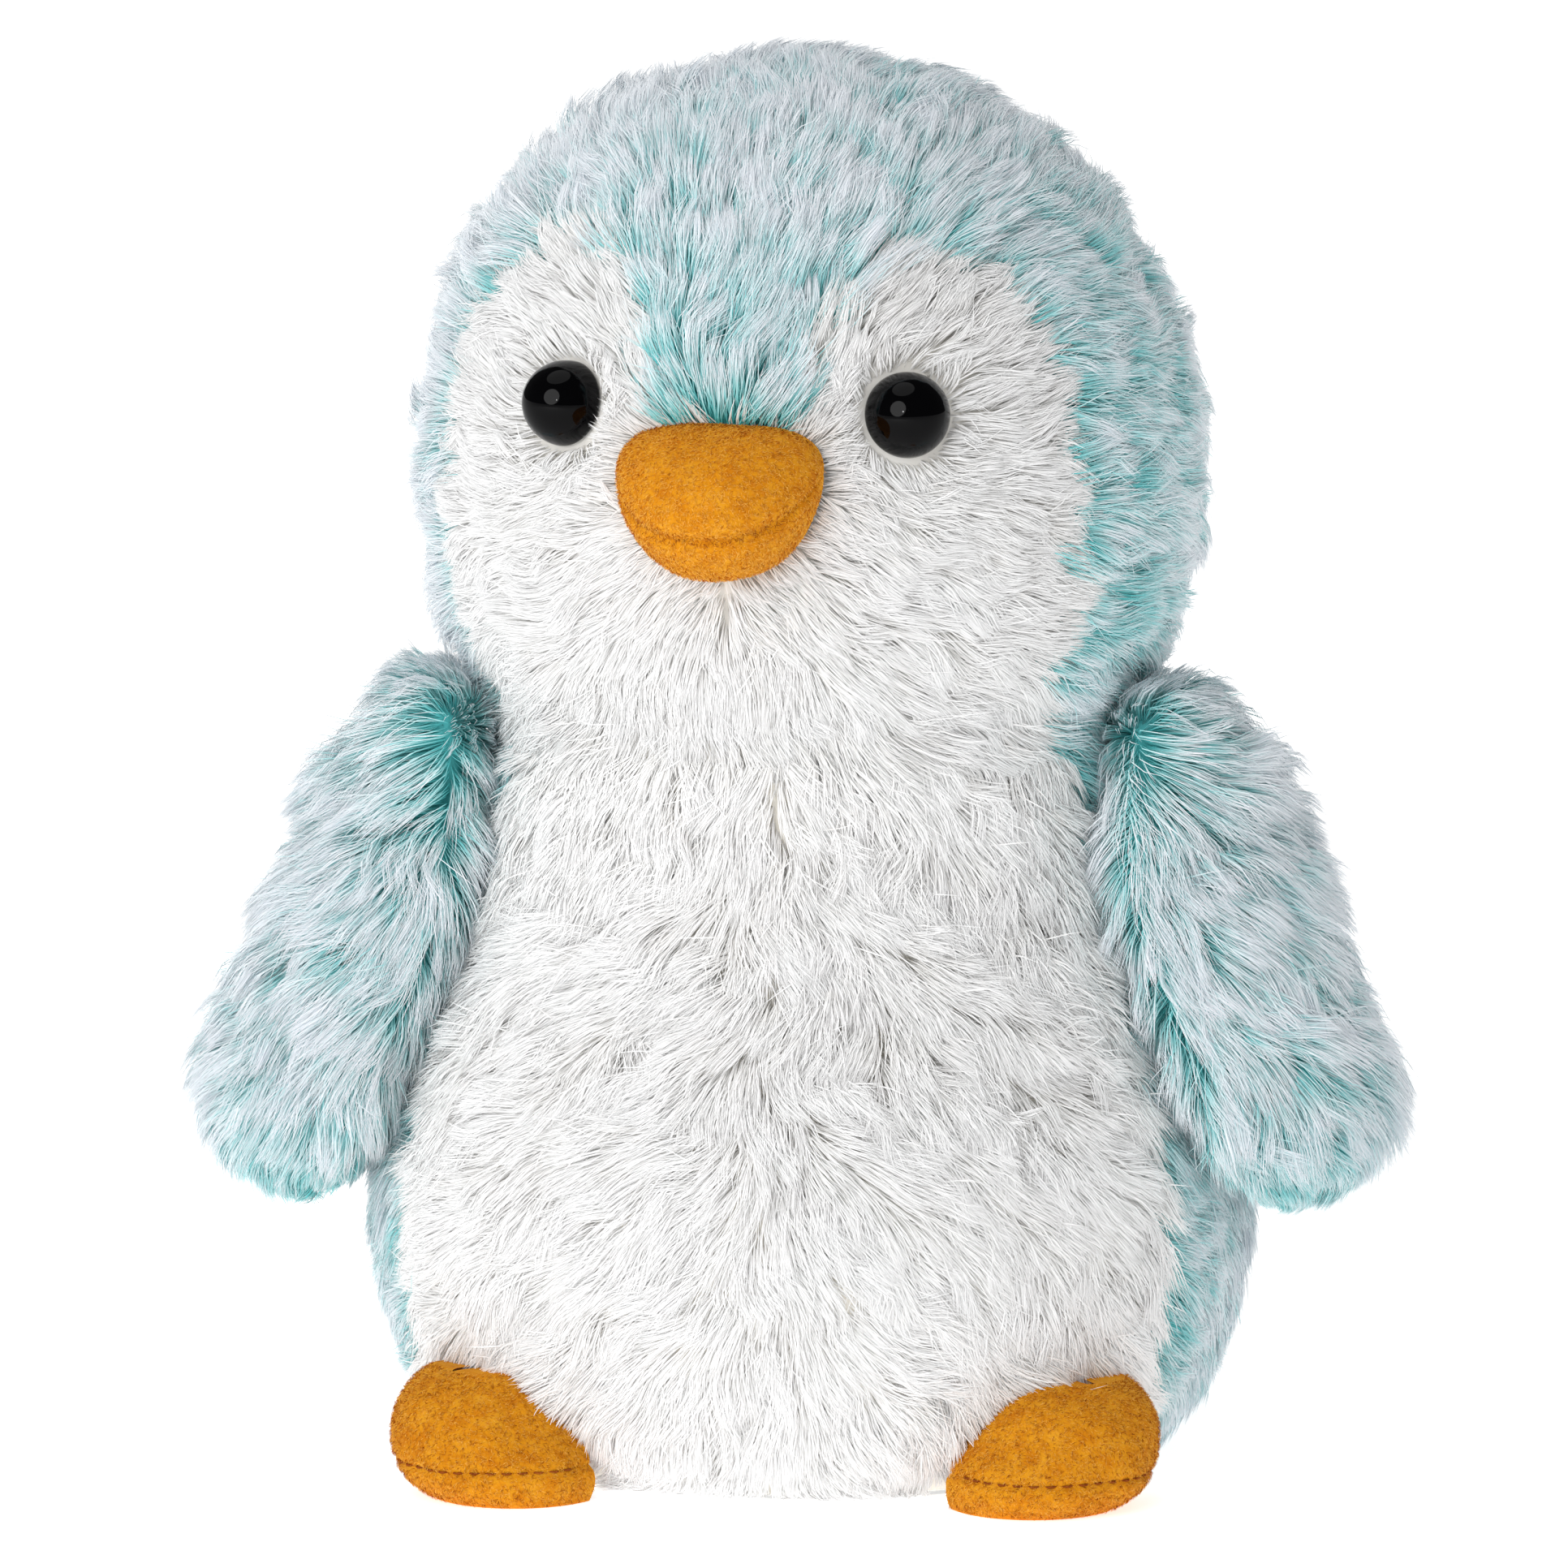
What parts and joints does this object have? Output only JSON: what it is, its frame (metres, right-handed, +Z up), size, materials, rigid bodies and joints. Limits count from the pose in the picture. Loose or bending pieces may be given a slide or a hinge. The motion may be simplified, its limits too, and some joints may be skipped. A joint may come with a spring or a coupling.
{
  "type": "plush penguin",
  "caption": "Standing stuffed penguin of long-pile plush: round head that turns on a pear-shaped body, two flapping wings, felt beak and feet, glossy eyes.",
  "frame": {"origin": "middle of the flat base, on the surface the toy stands on", "axes": "+Z up, -Y the way the body faces, +X to the penguin's own left"},
  "size_m": [0.148, 0.1162, 0.1766],
  "materials": {
    "teal_plush": "long frosted pile, teal at the roots and pale at the tips",
    "white_plush": "long soft white pile",
    "orange_felt": "short-napped felt",
    "fibrefill": "loose white fibre",
    "pouch_cloth": "thin woven cloth",
    "pellet_plastic": "smooth",
    "eye_plastic": "polished black",
    "washer_plastic": "smooth",
    "thread": "twisted thread"
  },
  "bodies": {
    "torso": {"belly_panel_left": "white_plush", "belly_panel_right": "white_plush", "back_panel_left": "teal_plush", "back_panel_right": "teal_plush", "base_panel": "white_plush", "body_stuffing": "fibrefill", "pellet_pouch": "pouch_cloth", "pellets": "pellet_plastic", "closing_stitches": "thread"},
    "head": {"head_hood_left": "teal_plush", "head_hood_right": "teal_plush", "forehead_gusset": "teal_plush", "face_panel_left": "white_plush", "face_panel_right": "white_plush", "head_stuffing": "fibrefill", "beak_upper": "orange_felt", "beak_lower": "orange_felt", "beak_stuffing": "fibrefill", "eye_left": "eye_plastic", "eye_right": "eye_plastic", "eye_washer_left": "washer_plastic", "eye_washer_right": "washer_plastic"},
    "wing_left": {"wing_outer_left": "teal_plush", "wing_inner_left": "teal_plush", "wing_stuffing_left": "fibrefill"},
    "foot_left": {"foot_top_left": "orange_felt", "foot_sole_left": "orange_felt", "foot_stuffing_left": "fibrefill", "foot_stitches_left": "thread"},
    "wing_right": {"wing_outer_right": "teal_plush", "wing_inner_right": "teal_plush", "wing_stuffing_right": "fibrefill"},
    "foot_right": {"foot_top_right": "orange_felt", "foot_sole_right": "orange_felt", "foot_stuffing_right": "fibrefill", "foot_stitches_right": "thread"}
  },
  "joints": [
    {"name": "head_turn", "type": "hinge", "parent": "torso", "child": "head", "pos_m": [0, 0, 0.095], "axis": [0, 0, 1], "range_deg": [-25, 25], "stiffness_Nm_per_rad": 0.03},
    {"name": "wing_left_flap", "type": "hinge", "parent": "torso", "child": "wing_left", "pos_m": [0.04634, -0.00901, 0.094], "axis": [-0.1908, -0.9816, 0], "range_deg": [0, 70], "stiffness_Nm_per_rad": 0.02},
    {"name": "foot_left_lift", "type": "hinge", "parent": "torso", "child": "foot_left", "pos_m": [0.03489, -0.04014, 0.0155], "axis": [-0.7547, -0.6561, 0], "range_deg": [0, 18], "stiffness_Nm_per_rad": 0.05},
    {"name": "wing_right_flap", "type": "hinge", "parent": "torso", "child": "wing_right", "pos_m": [-0.04634, -0.00901, 0.094], "axis": [-0.1908, 0.9816, 0], "range_deg": [0, 70], "stiffness_Nm_per_rad": 0.02},
    {"name": "foot_right_lift", "type": "hinge", "parent": "torso", "child": "foot_right", "pos_m": [-0.03489, -0.04014, 0.0155], "axis": [-0.7547, 0.6561, 0], "range_deg": [0, 18], "stiffness_Nm_per_rad": 0.05}
  ]
}
